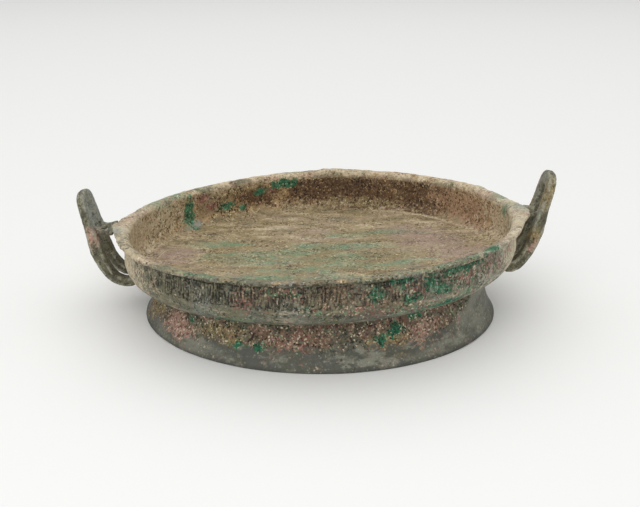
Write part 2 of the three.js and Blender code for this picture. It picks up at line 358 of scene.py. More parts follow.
def bowl_outline():
    """The bowl's section, from the axis along the underside, over the lip and back inside."""
    under = [(radius, underside_at(radius)) for radius in np.linspace(0, TURN_RADIUS, UNDER_RINGS)]
    turn_place = (TURN_RADIUS, TURN_TOP)
    turn = arc(*turn_place, TURN_WIDTH, TURN_HEIGHT, -90, 0, TURN_STEPS)
    at_lip = WALL_RADIUS - WALL_DRAFT
    band = [(WALL_RADIUS + BAND_RISE, BAND_BOTTOM), (at_lip + BAND_RISE, BAND_TOP)]
    neck = [(at_lip, BAND_TOP + BAND_RISE), (at_lip, LIP_UNDERSIDE)]
    edge = RIM_RADIUS - LIP_EDGE
    lip_low = arc(edge, LIP_UNDERSIDE + LIP_EDGE, LIP_EDGE, LIP_EDGE, -90, 0, EDGE_STEPS)
    lip_high = arc(edge, RIM_HEIGHT - LIP_EDGE, LIP_EDGE, LIP_EDGE, 0, 90, EDGE_STEPS)
    mouth_place = (WALL_RADIUS - WALL + MOUTH_RADIUS, RIM_HEIGHT - MOUTH_RADIUS)
    mouth = arc(*mouth_place, MOUTH_RADIUS, MOUTH_RADIUS, 90, 180, MOUTH_STEPS)
    turn_in = arc(*turn_place, TURN_WIDTH - WALL, TURN_HEIGHT - WALL, 0, -90, TURN_IN_STEPS)
    floor_in = [(radius, height + WALL) for radius, height in reversed(under[:-1])]
    outside = under + turn[1:-1] + filled(band, BAND_STEP)
    lip = filled(neck + lip_low, LIP_STEP) + filled(lip_high[1:] + mouth, LIP_STEP)
    wall_in = filled([mouth[-1], turn_in[0]], WALL_STEP)[1:-1]
    return outside + lip + wall_in + turn_in + filled(floor_in, FLOOR_STEP)


def swell_lip(places):
    """Lets the lip stand out a little further at both handles."""
    radius = radii(places)
    share = (radius - WALL_RADIUS) / LIP_OVERHANG
    off = np.arctan2(np.abs(places[:, 1]), np.abs(places[:, 0])) / LIP_SWELL_ANGLE
    on_lip = (share > 0.1) & (off < 1) & (places[:, 2] > LIP_UNDERSIDE - BAND_RISE)
    swell = LIP_SWELL * share * np.cos(np.clip(off, 0, 1) * math.pi / 2) ** 2
    grown = np.where(on_lip, (radius + swell) / np.maximum(radius, 1), 1.0)
    moved = places.copy()
    moved[:, :2] *= grown[:, None]
    return moved


def cut_band_finer(shape):
    """Splits the band's faces further round the bowl, so that they can carry the frieze."""
    spare = 0.1
    low = (BAND_BOTTOM - spare) * MM
    high = (BAND_TOP + spare) * MM
    outer = (WALL_RADIUS - WALL_DRAFT) * MM
    level = []
    for edge in shape.edges:
        start, end = edge.verts
        radius = math.hypot(start.co.x, start.co.y)
        flat = abs(start.co.z - end.co.z) < 1e-7
        if flat and radius > outer and low < start.co.z < high:
            level.append(edge)
    bmesh.ops.subdivide_edges(shape, edges=level, cuts=BAND_CUTS)


def inside_share(radius, height):
    """1 on the bowl's inner side and the top of its lip, 0 on its outer side."""
    on_floor = height > underside_at(radius) + WALL / 2
    across = (radius - TURN_RADIUS) / (TURN_WIDTH - WALL / 2)
    down = (TURN_TOP - height) / (TURN_HEIGHT - WALL / 2)
    in_turn = across**2 + np.maximum(down, 0) ** 2 < 1
    on_wall = radius < WALL_RADIUS - WALL / 2
    on_lip = height > RIM_HEIGHT - LIP_EDGE
    share = np.where(height > TURN_TOP, on_wall | on_lip, in_turn)
    return np.where(radius < TURN_RADIUS, on_floor, share)


# Where the frieze is more or less worn than elsewhere: bearing, half width in degrees, gain.
BAND_WEAR = [(-127, 26, 0.2), (-168, 32, -0.7), (-14, 36, -0.8), (-50, 24, -0.3)]
# Where the rim has been pushed up or down: bearing, half width in degrees, lift in mm.
RIM_LIFTS = [(85, 38, 1.4), (86, 6, 1.3), (107, 10, 0.6), (48, 16, -1.0), (19, 10, -1.4)]


def waved(places):
    """Lifts and lowers the rim a little, as knocks have left it."""
    bearing = bearings(places)
    share = ramp(places[:, 2], TURN_TOP, RIM_HEIGHT - TURN_TOP)
    share = np.where(radii(places) > TURN_RADIUS, share, 0)
    moved = places.copy()
    for middle, half, lift in RIM_LIFTS:
        moved[:, 2] += lift * share * near(bearing, middle, half)
    return moved


# Layers of lumps: height and size in mm, and a shift that makes each layer a new one.
BOWL_CAST = [(0.45, 30, 0), (0.25, 9, 3), (0.16, 3.5, 7)]
LIP_NICKS = [(0.8, 5, 11), (0.6, 14, 13)]
# The same for the frieze, where the height is a share of the groove's depth.
FRIEZE_WEAR = [(0.4, 30, 5), (0.7, 7, 15)]
FRIEZE_LEFT = 0.75
FRIEZE_LEAST = 0.15


def worn_groove(places):
    """How deep the frieze still is at each vertex, from 0 to 1, deepest under the lip."""
    radius = radii(places)
    bearing = bearings(places)
    height = places[:, 2]
    on_band = (radius > WALL_RADIUS - 1) & (height > BAND_BOTTOM) & (height < BAND_TOP)
    left = FRIEZE_LEFT + uneven(places, FRIEZE_WEAR)
    for middle, half, gain in BAND_WEAR:
        left += gain * near(bearing, middle, half)
    left = np.clip(left * (0.7 + 0.4 * (height - BAND_BOTTOM) / BAND_HEIGHT), FRIEZE_LEAST, 1)
    return np.where(on_band, groove_depth(places) * left, 0)


# Where the lip is grey rather than pale, where its edge is worn, and the bowl's two pale ends,
# partly patina and partly painted light from the sides: middle bearing and half width in degrees.
FRONT_LIP = (-90, 82)
FRONT_EDGE = (-90, 90)
LEFT_END = (180, 48)
RIGHT_END = (-8, 62)
INNER_WALL_FROM = 45.5
LIP_DEPTH = 6.5
ENDS_FROM = 128


def keep_parts(bowl, places, inside):
    """Keeps how far each vertex is on the inner wall, the lip, the pale ends and the band."""
    radius = radii(places)
    bearing = bearings(places)
    height = places[:, 2]
    keep(bowl, "inside", inside)
    keep(bowl, "inner_wall", inside * ramp(height, INNER_WALL_FROM, 4))
    on_lip = ramp(height, RIM_HEIGHT - LIP_DEPTH, 4)
    on_lip = np.where(inside + (radius > RIM_RADIUS - 3) > 0, on_lip, 0)
    keep(bowl, "front_lip", on_lip * near(bearing, *FRONT_LIP))
    keep(bowl, "lip", on_lip * (1 - near(bearing, *FRONT_LIP)))
    ends = near(bearing, *LEFT_END) + near(bearing, *RIGHT_END)
    keep(bowl, "ends", ends * ramp(radius, ENDS_FROM, 20))
    band_from = BAND_BOTTOM - 1 + 1.5 * lumps(places, 12, 9)
    keep(bowl, "band", (1 - inside) * ramp(height, band_from, 3))


def bowl_shape():
    """The turned bowl with its frieze, its casting's lumps, its nicked lip and its lean."""
    shape = spun(bowl_outline(), BOWL_STEPS)
    cut_band_finer(shape)
    bowl = to_piece("cast_bowl", shape)
    places = vertices(bowl)
    radius = radii(places)
    bearing = bearings(places)
    inside = inside_share(radius, places[:, 2])
    groove = worn_groove(places)
    keep(bowl, "groove", groove)
    keep_parts(bowl, places, inside)
    off_spacer = np.hypot(*(np.abs(places[:, :2]) - SPACER_OFFSET).T)
    free = np.where(inside > 0, 1, ramp(off_spacer, SPACER_SIZE, SPACER_SIZE))
    nicks = ramp(radius, WALL_RADIUS, LIP_OVERHANG) * uneven(places, LIP_NICKS)
    lift = free * uneven(places, BOWL_CAST) + nicks - GROOVE_DEPTH * groove
    places += outward(bowl) * lift[:, None]
    height = places[:, 2]
    keep_marks(bowl, places, BOWL_MARKS)
    green = np.where(height > FLOOR_HEIGHT - 2, floor_spots(places, FLOOR_GREENS), -1)
    keep(bowl, "floor_green", green)
    rim_edge = ramp(radius, RIM_RADIUS - 3.5, 3) * (height > LIP_UNDERSIDE + 1)
    keep(bowl, "rim_edge", rim_edge * near(bearing, *FRONT_EDGE))
    move_to(bowl, leaned(waved(swell_lip(places))))
    return bowl


# Where the bowl's patina has its colours: the bearing of each mark in degrees, then its
# radius, height, half width and half height in mm.
BOWL_MARKS = {
    "malachite": [
        (140.5, 160, 60, 6, 17), (103, 160, 70, 14, 5), (111, 160, 66, 9, 4), (124, 160, 58, 9, 5),
        (119, 158, 53, 5, 4), (-60, 164, 66, 7, 8), (-50, 164, 72, 22, 4), (-57, 164, 60, 12, 4),
        (-66, 163, 57, 9, 4), (-75, 164, 66, 6, 5), (-40, 168, 78.8, 9, 4), (-70, 164, 72, 12, 3),
        (-124, 168, 78.8, 6, 2), (-56, 161, 46, 18, 4), (-117, 160, 76, 12, 3),
    ],
    "soft_green": [
        (146, 166, 79, 44, 8), (-118, 142, 43, 30, 6), (-122, 167, 78.8, 30, 4),
        (-65, 168, 79, 50, 3), (-112, 161, 46, 24, 4), (-121, 163, 50, 16, 4), (16, 166, 79, 14, 5),
        (-72, 162, 49, 16, 4), (-50, 163, 52, 14, 4), (140, 158, 50, 12, 7), (8, 163, 72, 16, 6),
        (98, 168, 79, 24, 4),
    ],
    "cuprite": [
        (-110, 164, 62, 7, 6), (-125.5, 166, 75.5, 3, 2), (-48.6, 164, 65, 10, 9),
        (-39, 164, 68, 9, 10), (-62, 163, 60, 8, 4), (-72, 164, 68, 12, 5), (-33, 164, 62, 7, 5),
        (-80, 163, 54, 10, 3), (108, 160, 65, 6, 3), (-74, 162, 49, 14, 3),
        (-66, 164, 66, 10, 5), (-25, 164, 69, 7, 6), (-56, 164, 70, 8, 5), (134.5, 161, 68, 8, 6),
        (131, 161, 60, 8, 4),
    ],
    "mauve": [
        (24, 106, 42, 50, 34), (0, 118, 42, 34, 30), (-22, 128, 43, 40, 18), (130, 160, 66, 12, 9),
        (172, 130, 43, 30, 26),
    ],
    "russet": [
        (-85, 164, 71, 20, 5), (-100, 164, 68, 26, 9), (-84, 164, 64, 24, 9), (-68, 164, 58, 30, 6),
    ],
    "mixed": [
        (-62, 164, 66, 50, 12), (-48, 164, 66, 34, 13), (-86, 163, 54, 30, 6),
        (-66, 162, 50, 30, 6), (-100, 164, 68, 20, 7), (-46, 162, 50, 24, 5),
    ],
    "lichen": [
        (8, 168, 79, 40, 7), (-8, 164, 70, 30, 12), (-19, 164, 67, 30, 14), (-20, 164, 60, 26, 7),
        (28, 167, 79, 14, 5), (-40, 169, 79, 24, 3), (150, 168, 79, 20, 4),
    ],
    "clay": [(28, 160, 60, 60, 20), (4, 160, 62, 50, 20), (120, 160, 72, 20, 6)],
    "umber": [
        (74, 160, 60, 60, 20), (50, 160, 60, 60, 20), (27, 160, 56, 34, 14), (92, 160, 62, 40, 15),
        (114, 160, 62, 34, 13),
    ],
    "ochre": [
        (153, 160, 60, 34, 14), (127, 160, 66, 16, 8), (118, 160, 72, 26, 5), (14, 166, 79, 12, 5),
        (22, 167, 78, 10, 4), (3, 158, 58, 22, 14), (60, 165, 76, 30, 4), (-80, 122, 42, 20, 8),
        (-46, 134, 43, 36, 8),
        (-122, 122, 42, 30, 12), (120, 155, 50, 30, 6), (75, 158, 50, 40, 5), (85, 167, 78, 40, 4),
        (160, 90, 42, 40, 18), (-5, 150, 46, 16, 8),
    ],
    "blue_grey": [
        (-174, 169, 79, 11, 5), (3, 169, 79, 12, 5), (139, 156, 47, 9, 6), (-160, 142, 20, 12, 8),
    ],
    # The pale marks on the lip are its own colour. Those on the walls at both ends, inside and out,
    # are painted light, and the thin ones at radius 150 along the floor's edge a painted highlight.
    "pale": [
        (128, 166, 76, 20, 6), (75, 165, 77, 50, 5), (150, 168, 79, 40, 5), (34, 165, 77, 40, 5),
        (-150, 169, 78.8, 30, 4), (8, 168, 79, 20, 6), (-14, 164, 66, 44, 20),
        (-166, 164, 66, 40, 18), (48, 150, 44.5, 60, 2), (24, 150, 44.5, 40, 2),
        (178, 160, 62, 60, 22), (158, 160, 64, 44, 16), (8, 160, 62, 40, 18),
        (-160, 160, 64, 40, 18),
    ],
}
# Green streaks on the floor: x, y, half length along X and half width in mm.
FLOOR_GREENS = [
    (-60, 8, 40, 18), (-22, 22, 50, 15), (14, 34, 60, 13), (18, 2, 66, 18), (36, -22, 56, 14),
    (-14, -26, 50, 14), (-44, -50, 40, 12), (20, -60, 50, 12), (70, -52, 36, 12), (-90, 52, 36, 12),
    (50, 70, 40, 10),
]


def keep_marks(piece, places, marks):
    """Keeps each kind of mark under its own name."""
    for name, ovals in marks.items():
        keep(piece, name, spots(places, ovals))


# Bronze that has lain in the ground is covered in small grains of several minerals, so its
# colour is laid in many thin patinas. Their maths is written in shades: a shade is one socket
# of a node tree, and adding, multiplying or mixing shades adds the nodes that do it.
class Shade:
    """One socket of a material's node tree, or with no socket the tree alone."""

    def __init__(self, tree, socket=None):
        self.tree = tree
        self.socket = socket

    def node(self, kind, settings=(), inputs=(), output=0):
        """A new node: its type, its settings, and the values or links of its sockets."""
        made = self.tree.nodes.new("ShaderNode" + kind)
        for name, value in dict(settings).items():
            setattr(made, name, value)
        for name, value in dict(inputs).items():
            if isinstance(value, Shade):
                self.tree.links.new(value.socket, made.inputs[name])
            else:
                made.inputs[name].default_value = value
        return Shade(self.tree, made.outputs[output])

    def math(self, operation, *values):
        return self.node("Math", {"operation": operation}, dict(enumerate(values)))

    def __add__(self, other):
        return self.math("ADD", self, other)

    def __radd__(self, other):
        return self.math("ADD", other, self)

    def __sub__(self, other):
        return self.math("SUBTRACT", self, other)

    def __rsub__(self, other):
        return self.math("SUBTRACT", other, self)

    def __mul__(self, other):
        return self.math("MULTIPLY", self, other)

    def __rmul__(self, other):
        return self.math("MULTIPLY", other, self)

    def rise(self, low, high):
        """0 at low, 1 at high, flat beyond them and smooth between. Low may be the larger."""
        settings = {"interpolation_type": "SMOOTHSTEP"}
        return self.node("MapRange", settings, {"Value": self, "From Min": low, "From Max": high})

    def tint(self, first, second):
        """The first colour where this mask is 0, the second where it is 1."""
        inputs = {0: self, 6: first, 7: second}
        return self.node("Mix", {"data_type": "RGBA"}, inputs, output=2)

    def places(self):
        return self.node("TexCoord", output="Object")

    def grain(self, size_mm, detail=3.0, rough=0.6, stretch=None):
        """Noise whose lumps are about size_mm across, from 0 to 1 round a mean of 0.5."""
        places = self.places()
        if stretch:
            places = self.node("Mapping", {}, {"Vector": places, "Scale": stretch})
        inputs = {"Vector": places, "Scale": 1000 / size_mm, "Detail": detail, "Roughness": rough}
        return self.node("TexNoise", {}, inputs)

    def kept(self, name):
        """A value that was worked out for each vertex and kept on the mesh."""
        return self.node("Attribute", {"attribute_name": name}, output="Fac")

    def crumbs(self, size_mm):
        """One random value for each of many ragged cells, size_mm across."""
        places = self.places()
        wander = {"Vector": places, "Scale": 450 / size_mm, "Detail": 1.0}
        shift = self.node("TexNoise", {}, wander, "Color")
        far = (size_mm * MM,) * 3
        moved = self.node(
            "VectorMath", {"operation": "MULTIPLY_ADD"}, {0: shift, 1: far, 2: places}
        )
        cell_colour = self.node(
            "TexVoronoi", {}, {"Vector": moved, "Scale": 1000 / size_mm}, "Color"
        )
        return cell_colour * 1.0

    def strewn(self, size_mm, patch_mm, extra):
        """Grains of one mineral, gathered in patches. The more extra, the more grains."""
        gathered = self.crumbs(size_mm) + (self.grain(patch_mm, 3) - 0.5) * 1.7
        return gathered.rise(0.8 - extra, 0.88 - extra)

    def capped(self):
        return self.math("MINIMUM", self, 1)


def finish(name, look):
    """A new material. Its look gets a shade, and gives the colour, the roughness, the metal,
    and the height of the relief with the depth in metres that it stands for."""
    material = bpy.data.materials.new(name)
    material.use_nodes = True
    tree = material.node_tree
    shader = tree.nodes["Principled BSDF"]
    colour, roughness, metal, height, depth = look(Shade(tree))
    bump = Shade(tree).node("Bump", {}, {"Height": height, "Distance": depth, "Strength": 1.0})
    tree.links.new(colour.socket, shader.inputs["Base Color"])
    tree.links.new(roughness.socket, shader.inputs["Roughness"])
    tree.links.new(metal.socket, shader.inputs["Metallic"])
    tree.links.new(bump.socket, shader.inputs["Normal"])
    return material


# Each patina has the colour of its pits, of its body and of its brightest grains.
EARTH = (seen(90, 70, 42), seen(162, 143, 108), seen(220, 204, 168))
SAND = (seen(84, 60, 36), seen(170, 141, 102), seen(228, 210, 172))
OLIVE = (seen(50, 48, 34), seen(108, 105, 82), seen(162, 156, 126))
MOSS = (seen(42, 42, 33), seen(84, 85, 71), seen(126, 128, 110))
SAGE = (seen(58, 60, 52), seen(112, 114, 101), seen(162, 164, 152))
LILAC = (seen(84, 76, 68), seen(150, 138, 124), seen(196, 186, 172))
MALACHITE = (seen(14, 50, 36), seen(34, 106, 72), seen(110, 168, 134))
SOFT_GREEN = (seen(60, 88, 60), seen(108, 139, 106), seen(170, 192, 158))
CUPRITE = (seen(60, 35, 28), seen(140, 91, 78), seen(216, 176, 156))
CLAY = (seen(92, 66, 46), seen(176, 142, 110), seen(220, 194, 162))
ROSE = (seen(118, 84, 72), seen(178, 141, 124), seen(216, 188, 170))
MAUVE = (seen(120, 98, 82), seen(160, 136, 120), seen(198, 178, 158))
RUSSET = (seen(46, 34, 25), seen(120, 98, 77), seen(204, 178, 148))
UMBER = (seen(36, 23, 13), seen(84, 58, 36), seen(170, 138, 98))
OCHRE = (seen(58, 45, 25), seen(140, 121, 82), seen(216, 202, 156))
BLUE_GREY = (seen(104, 110, 106), seen(150, 156, 149), seen(190, 196, 188))
PALE = (seen(140, 126, 98), seen(210, 191, 158), seen(236, 224, 200))
ASH = (seen(84, 84, 74), seen(136, 136, 121), seen(184, 186, 172))
LICHEN = (seen(110, 116, 94), seen(194, 197, 174), seen(230, 232, 212))
BONE = (seen(120, 118, 102), seen(186, 182, 160), seen(222, 220, 204))
# Single colours, for grains, for painted shade in the grooves and slots, and for dirt in the seams.
CREAM_GRAIN = seen(222, 208, 176)
GROOVE_SHADE = seen(34, 31, 23)
SLOT_SHADE = seen(42, 38, 29)
SEAM_DIRT = seen(30, 27, 20)
# The finest noise as size in mm, detail and roughness, then the sizes of grains in mm, and the
# depth in metres of the relief that they stand for.
FINE_GRAIN = (2.4, 2, 0.6)
CHUNK_SIZE = 1.5
CREAM_SIZE = 1.2
FLECK_SIZE = 1.4
PATINA_DEPTH = 0.001


def layered(patina, *layers):
    """A patina with others over it, each given by a mask of where it lies and its colours."""
    for mask, above in layers:
        patina = [mask.tint(under, over) for under, over in zip(patina, above)]
    return patina


def grained(patina, pits, grains):
    """The colour of a patina with its pits and its bright grains in place."""
    dark, body, bright = patina
    return pits.tint(grains.tint(body, bright), dark)


def flecks(shade):
    """Where a grainy surface has its pits, and where its bright grains, both from 0 to 1."""
    crumbs = shade.crumbs(FLECK_SIZE)
    tiny = shade.crumbs(FLECK_SIZE * 0.75)
    cloudy = shade.grain(FLECK_SIZE * 2.6, 3)
    pits = crumbs.rise(0.33, 0.2) * 0.8 + cloudy.rise(0.48, 0.3) * 0.55
    grains = tiny.rise(0.74, 0.86) * 0.85 + cloudy.rise(0.54, 0.72) * 0.4
    return pits, grains


def strewn_layers(shade, where, minerals):
    """Layers of grains of several minerals, all within one mask."""
    return [
        (where * shade.strewn(size, patch, extra) * strength, colours)
        for size, patch, extra, strength, colours in minerals
    ]


def spacer_seams(shade):
    """A thin line round each of the four core spacers, 1 on the line and 0 elsewhere."""
    places = shade.places()
    x = shade.node("SeparateXYZ", {}, {"Vector": places}, output="X") - AXIS_SHIFT * MM
    y = shade.node("SeparateXYZ", {}, {"Vector": places}, output="Y")
    off_x = shade.math("ABSOLUTE", shade.math("ABSOLUTE", x) - SPACER_OFFSET * MM)
    off_y = shade.math("ABSOLUTE", shade.math("ABSOLUTE", y) - SPACER_OFFSET * MM)
    off = shade.math("MAXIMUM", off_x, off_y) * (2 / SPACER_SIZE / MM)
    return off.rise(0.9, 1.0) * off.rise(1.35, 1.15)


def bowl_fields(shade):
    """The noises and the parts of the bowl that its patinas follow."""
    inside = shade.kept("inside").rise(0.2, 0.8)
    inner_wall = shade.kept("inner_wall").rise(0.1, 0.9)
    at = SimpleNamespace(
        cloud=shade.grain(34, 4),
        blotch=shade.grain(9, 4),
        fine=shade.grain(*FINE_GRAIN),
        chunks=shade.crumbs(CHUNK_SIZE),
        drawn=shade.grain(26, 4, 0.65, stretch=(0.6, 1, 1)),
        wiped=shade.grain(13, 5, 0.7, stretch=(0.45, 1, 1)),
        smear=shade.grain(8, 4, 0.65, stretch=(0.25, 0.25, 1.2)),
        inside=inside,
        inner_wall=inner_wall,
        on_floor=inside - inner_wall,
        lip=shade.kept("lip"),
        front_lip=shade.kept("front_lip"),
        rim_edge=shade.kept("rim_edge"),
        ends=shade.kept("ends").capped(),
        band=shade.kept("band").rise(0.1, 0.9),
    )

    def marked(name, rag=0.6, soft=0.5):
        """A mark with a ragged edge: rag is how much grains break it, soft how far it fades."""
        ragged = shade.kept(name) + (at.chunks - 0.5) * rag + (at.blotch - 0.5) * 2.4
        return (ragged + (at.fine - 0.5) * 1.4 + 0.15).rise(0, soft)

    at.marked = marked
    return at


def bowl_ground(at):
    """The patina that covers the outside, smeared, and the inside, drawn out along X."""
    outer = layered(
        SAGE,
        (at.cloud.rise(0.4, 0.56), OLIVE),
        (at.blotch.rise(0.55, 0.7) * 0.6, LILAC),
        # Paler at both ends: partly patina, partly painted light from the sides.
        (at.ends * at.blotch.rise(0.25, 0.45), BONE),
        (at.smear.rise(0.53, 0.66) * (0.5 - 0.35 * at.band), PALE),
        (at.smear.rise(0.5, 0.38) * (0.8 - 0.5 * at.band), MOSS),
    )
    inner = layered(
        SAND,
        (at.cloud.rise(0.45, 0.6) * 0.5, OLIVE),
        (at.on_floor, EARTH),
        (at.drawn.rise(0.5, 0.62) * at.on_floor * 0.6, MAUVE),
        (at.drawn.rise(0.5, 0.38) * at.on_floor * 0.7, OCHRE),
        (at.wiped.rise(0.52, 0.64) * at.on_floor * 0.7, PALE),
        (at.wiped.rise(0.48, 0.36) * at.on_floor * 0.7, OLIVE),
    )
    return layered(outer, (at.inside, inner))


def stain_layers(at):
    """Brown and reddish stains on the floor, the inner wall and the frieze."""
    return [
        (at.marked("mauve", soft=0.8) * 0.8, MAUVE),
        (at.marked("umber", 0.4, 0.6) * at.inside * 0.9, UMBER),
        (at.marked("clay", 0.4, 0.7) * at.inside * 0.8, CLAY),
        (at.marked("ochre") * 0.7, OCHRE),
        (at.marked("russet", 1.4) * 0.8, RUSSET),
    ]


def lip_layers(at):
    """A pale lip, greyer along the front, with light marks near it, partly painted light."""
    return [
        (at.lip * at.blotch.rise(0.36, 0.56), PALE),
        # The lip paler at both ends: partly patina, partly painted highlight.
        (at.lip * at.ends * 0.7, BONE),
        (at.lip * at.drawn.rise(0.5, 0.6) * 0.65, ROSE),
        (at.lip * at.cloud.rise(0.5, 0.6) * 0.8, OLIVE),
        (at.rim_edge * at.blotch.rise(0.62, 0.42) * 0.8, SAGE),
        (at.marked("lichen", 1.0) * 0.85, LICHEN),
        (at.front_lip * at.blotch.rise(0.56, 0.44) * 0.8, ASH),
        (at.front_lip * at.cloud.rise(0.42, 0.54) * 0.7, OLIVE),
        # Pale marks: the lip's own colour, painted light on the walls at both ends, and a painted
        # highlight along the floor's edge.
        (at.marked("pale", 1.0) * 0.75, PALE),
    ]


def green_layers(shade, at):
    """Soft green streaks with darker green in them."""
    greens = shade.math("MAXIMUM", shade.kept("soft_green"), shade.kept("floor_green"))
    streaky = greens + (at.drawn - 0.5) * 3 + (at.wiped - 0.5) * 4 + (at.chunks - 0.5) * 0.5
    green = streaky.rise(-0.3, 1.1) * (0.55 + 0.45 * at.blotch.rise(0.4, 0.56))
    return [(green * 0.9, SOFT_GREEN), (green * at.wiped.rise(0.58, 0.7) * 0.5, MALACHITE)]


# The mixed grains: size and patch size in mm, extra, strength, colours.
BOWL_GRAINS = [
    (1.6, 11, 0.06, 0.7, OLIVE),
    (1.35, 7, 0.1, 0.75, CUPRITE),
    (1.9, 8, 0.04, 0.75, SOFT_GREEN),
    (2.3, 9, 0, 0.7, MALACHITE),
    (1.8, 6, -0.02, 0.7, PALE),
    (1.5, 10, 0.02, 0.7, MOSS),
]


def bowl_look(shade):
    """The bowl's ground, its stains, lip and greens, then grains, pits, painted groove shade and
    dirt.
    """
    at = bowl_fields(shade)
    patina = layered(
        bowl_ground(at),
        *stain_layers(at),
        *lip_layers(at),
        *green_layers(shade, at),
        (at.marked("cuprite", 2.6 - 2 * at.inside) * 0.7, CUPRITE),
        *strewn_layers(shade, at.marked("mixed", 1.0), BOWL_GRAINS),
        (at.marked("blue_grey", soft=0.8) * 0.7, BLUE_GREY),
        (at.marked("malachite", 0.3 + 1.5 * at.band, 0.6) * 0.92, MALACHITE),
    )
    cluster = shade.grain(15, 3).rise(0.4, 0.6)
    rough = 0.34 + 0.1 * at.on_floor + 0.3 * at.inner_wall + 0.36 * at.band + 0.7 * cluster
    rough = rough + 0.5 * at.inner_wall * at.marked("ochre")
    pits, grains = flecks(shade)
    bare = pits * rough * (1 - 0.4 * shade.math("MAXIMUM", at.lip, at.ends * at.band))
    colour = grained(patina, bare.capped(), (grains * rough).capped())
    cream = shade.crumbs(CREAM_SIZE).rise(0.9, 0.95) * rough * 0.6
    # Painted shade in the frieze's grooves, stronger in places.
    cut = shade.kept("groove").rise(0.2, 0.7) * (0.38 + 0.5 * at.chunks.rise(0.25, 0.5))
    # Painted dark slots that stand for shaded grooves and break up the frieze; they also lower the
    # relief.
    slots = shade.grain(3, 3, stretch=(1, 1, 0.3)).rise(0.47, 0.38)
    slots = slots * at.band * (1 - 0.8 * at.ends)
    colour = cut.tint(cream.tint(colour, CREAM_GRAIN), GROOVE_SHADE)
    colour = (slots * 0.6).tint(colour, SLOT_SHADE)
    colour = (spacer_seams(shade) * (1 - at.inside) * 0.85).tint(colour, SEAM_DIRT)
    roughness = 0.62 + 0.25 * at.blotch
    metal = at.fine.rise(0.6, 0.8) * 0.1
    relief = (grains * 0.3 - pits * 0.4) * rough
    height = at.fine * 0.7 + relief + at.blotch * 0.8 - slots * 0.8
    return colour, roughness, metal, height, PATINA_DEPTH


bowl = bowl_shape()
bowl.data.materials.append(finish("bowl_patina", bowl_look))
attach(bowl, "root")
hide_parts("basin_bowl")


# Ring foot
# A flared ring cast under the bowl. Its upper part is covered in worn, grainy relief, and a
# smooth plain band runs round the base, where it was finished by rubbing down.
FOOT_RADIUS = 149.2
FOOT_BEND_RADIUS = 140.2
FOOT_BEND_HEIGHT = 12
FOOT_WALL = 5
FOOT_EDGE = 1
FOOT_BAND_TOP = 11.5
FOOT_STEPS = 720
FLARE_STEPS = 12
FILLET_STEPS = 5
FOOT_OVERLAP = 0.5
FOOT_FILLET = 3
# The widest spacing in mm along the section's base, its outside and its inside.
FOOT_SPACINGS = (2, 1, 4)


def foot_outline():
    """The foot's section: its base, its flared outside, the fillet at its neck, its inside."""
    top = underside_at(NECK_RADIUS) + FOOT_OVERLAP
    start = Vector((FOOT_RADIUS, FOOT_EDGE))
    bend = Vector((FOOT_BEND_RADIUS, FOOT_BEND_HEIGHT))
    end = Vector((NECK_RADIUS, top - FOOT_FILLET))
    outside = []
    for i in range(FLARE_STEPS + 1):
        t = i / FLARE_STEPS
        outside.append(tuple((1 - t) ** 2 * start + 2 * t * (1 - t) * bend + t * t * end))
    inside = [(radius - FOOT_WALL, height) for radius, height in outside]
    inside[0] = (inside[0][0], 0)
    inside[-1] = (inside[-1][0], top)
    fillet_place = (NECK_RADIUS + FOOT_FILLET, top - FOOT_FILLET)
    outside += arc(*fillet_place, FOOT_FILLET, FOOT_FILLET, 165, 90, FILLET_STEPS)
    base = [inside[0], (FOOT_RADIUS - FOOT_EDGE, 0), outside[0]]
    base, outside, inside = map(filled, (base, outside, inside[::-1]), FOOT_SPACINGS)
    return base[:-1] + outside + inside


# Where the foot's patina has its colours, as for the bowl.
FOOT_MARKS = {
    "cuprite": [
        (-98, 140, 22, 24, 12), (-86, 138, 32, 20, 5), (-74, 140, 28, 14, 6), (-72, 141, 13, 16, 3),
        (-47, 138, 32, 22, 4), (-64, 140, 26, 6, 6), (-96, 143, 12, 16, 3),
        (95, 140, 24, 30, 10), (60, 140, 18, 20, 6),
    ],
    "rose": [
        (-142, 141, 17, 20, 14), (-56, 141, 21, 15, 10), (-38, 141, 18, 5, 4),
        (-130, 137, 32, 9, 5), (-110, 139, 30, 9, 5), (150, 140, 22, 20, 10),
    ],
    "mixed": [
        (-98, 140, 22, 60, 16), (-60, 140, 22, 50, 16), (-120, 140, 20, 20, 8),
        (-42, 138, 30, 22, 6), (-70, 143, 10, 30, 4),
    ],
    # Paler patches on the plain band, mostly toward the left and right: partly patina, partly
    # painted light from the sides.
    "paler_patches": [
        (-26, 142, 22, 60, 28), (-138, 146, 7, 66, 12), (0, 142, 22, 50, 24), (-50, 147, 6, 40, 7),
        (170, 146, 8, 60, 9), (70, 146, 7, 60, 8),
    ],
    "malachite": [
        (-115, 142, 15, 8, 4), (-109, 142, 17, 6, 5), (-96.4, 143, 13, 3, 2.6),
        (-66, 139, 24, 7, 5), (-58, 138, 32, 7, 5), (-124, 137, 35, 16, 3), (-71, 139, 20, 5, 5),
        (-137, 139, 26, 5, 4), (120, 140, 20, 10, 6), (40, 139, 28, 12, 5),
    ],
    "ochre": [
        (-122, 140, 22, 22, 8), (-66, 140, 19, 26, 9), (-40, 138, 33, 14, 4),
        (-118, 141, 17, 14, 4), (-65, 143, 11, 26, 4), (-158, 139, 24, 12, 12),
        (-168, 140, 20, 22, 15), (20, 139, 26, 20, 8),
    ],
    "umber": [
        (-82, 141, 15, 14, 11), (-84, 139, 26, 8, 7), (-134, 138, 32, 11, 4),
        (-104, 138, 34, 10, 4), (-90, 141, 12, 8, 4),
    ],
}
